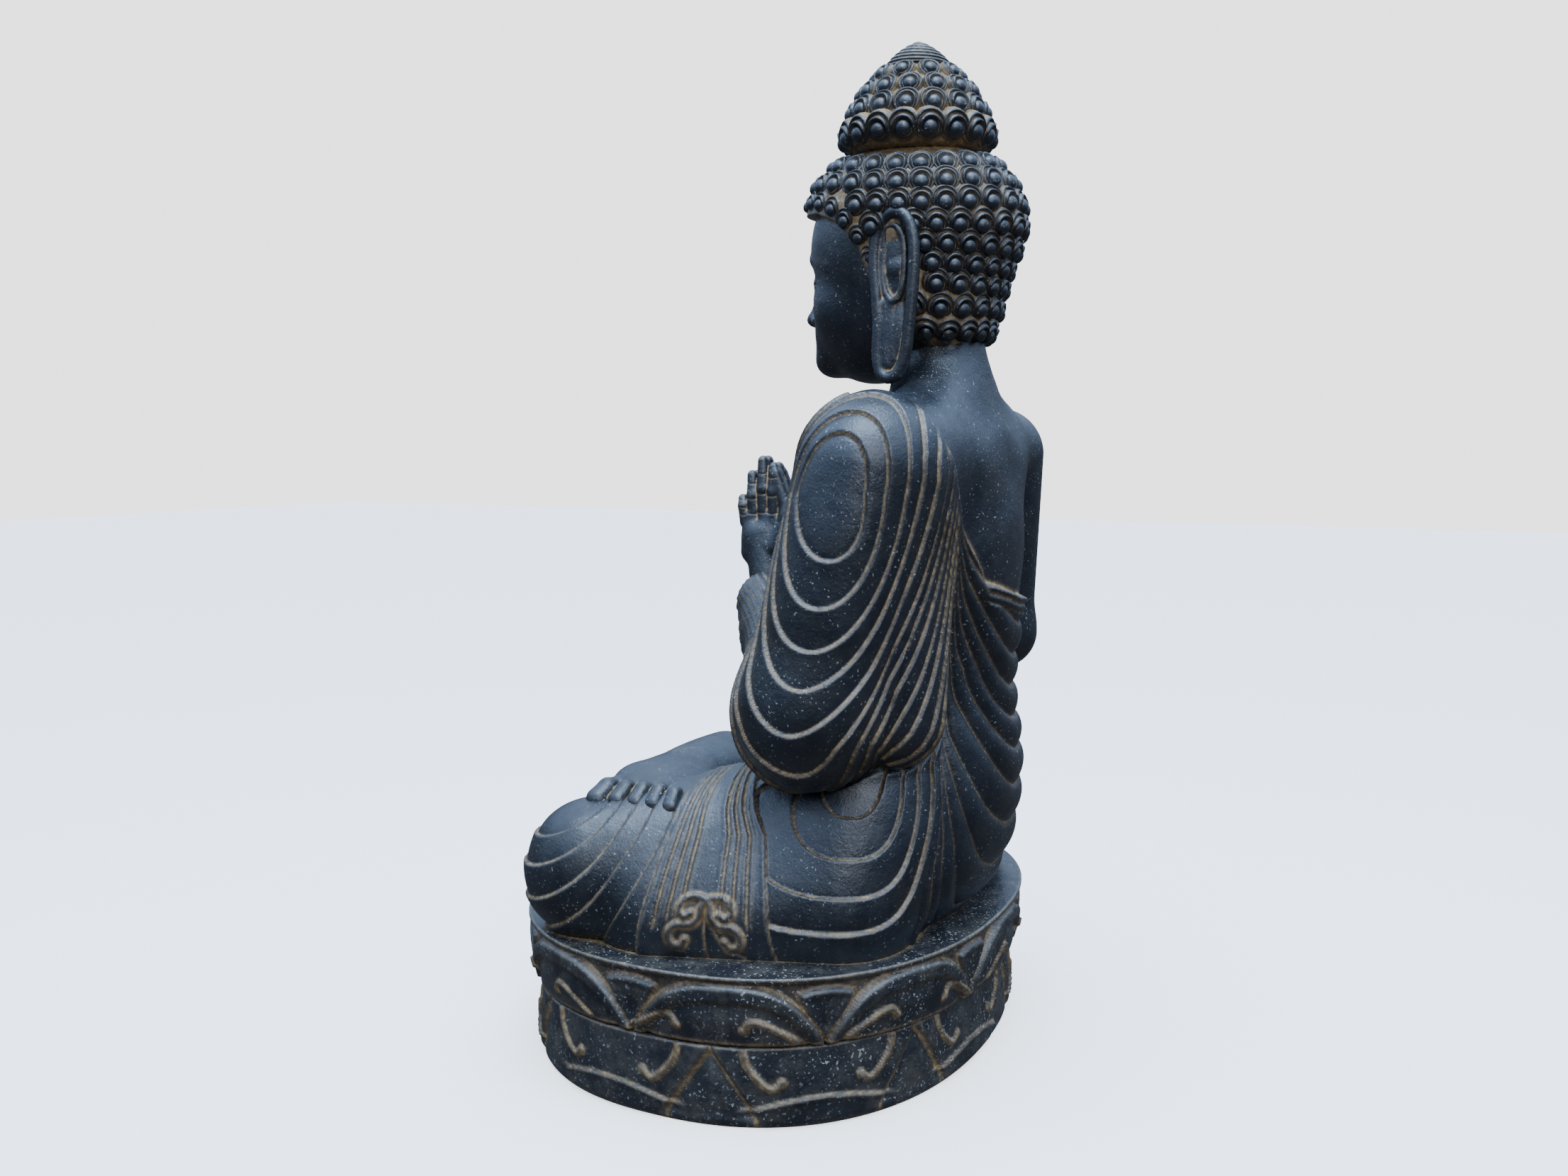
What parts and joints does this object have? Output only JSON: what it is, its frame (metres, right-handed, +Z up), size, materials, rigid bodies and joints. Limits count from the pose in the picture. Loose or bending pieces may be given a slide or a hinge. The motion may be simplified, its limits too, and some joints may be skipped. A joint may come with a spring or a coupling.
{
  "type": "buddha statue",
  "caption": "Seated buddha in dark cast stone with palms together, robe over one shoulder, curled hair and long ears, on a rounded lotus base.",
  "frame": {"origin": "middle of the underside of the base, on the surface that the statue stands on", "axes": "+Z up; the figure faces -Y, so its left side is on +X and its back on +Y"},
  "size_m": [0.864, 0.7355, 1.498],
  "materials": {
    "statue_stone": "dark charcoal stone with an ochre wash left in the carved lines, half matt",
    "base_stone": "the same stone, dustier and more worn, matt",
    "mortar": "ochre cement, matt",
    "steel": "plain reinforcing steel"
  },
  "bodies": {
    "root": {"lap_block": "statue_stone", "right_foot": "statue_stone", "torso": "statue_stone", "left_upper_arm": "statue_stone", "left_forearm_sleeve": "statue_stone", "right_upper_arm": "statue_stone", "right_forearm": "statue_stone", "left_hand": "statue_stone", "right_hand": "statue_stone", "head": "statue_stone", "left_ear": "statue_stone", "right_ear": "statue_stone", "topknot": "statue_stone", "finial": "statue_stone", "lower_lotus_tier": "base_stone", "upper_lotus_tier": "base_stone", "tier_bed": "mortar", "seat_bed": "mortar", "waist_bed": "mortar", "neck_bed": "mortar", "armature_post": "steel", "shoulder_bar": "steel", "left_elbow_dowel": "steel", "right_elbow_dowel": "steel", "left_wrist_dowel": "steel", "right_wrist_dowel": "steel", "topknot_dowel": "steel", "finial_dowel": "steel", "plinth_dowel_1": "steel", "plinth_dowel_2": "steel", "plinth_dowel_3": "steel", "plinth_dowel_4": "steel", "seat_dowel_1": "steel", "seat_dowel_2": "steel"}
  },
  "joints": []
}
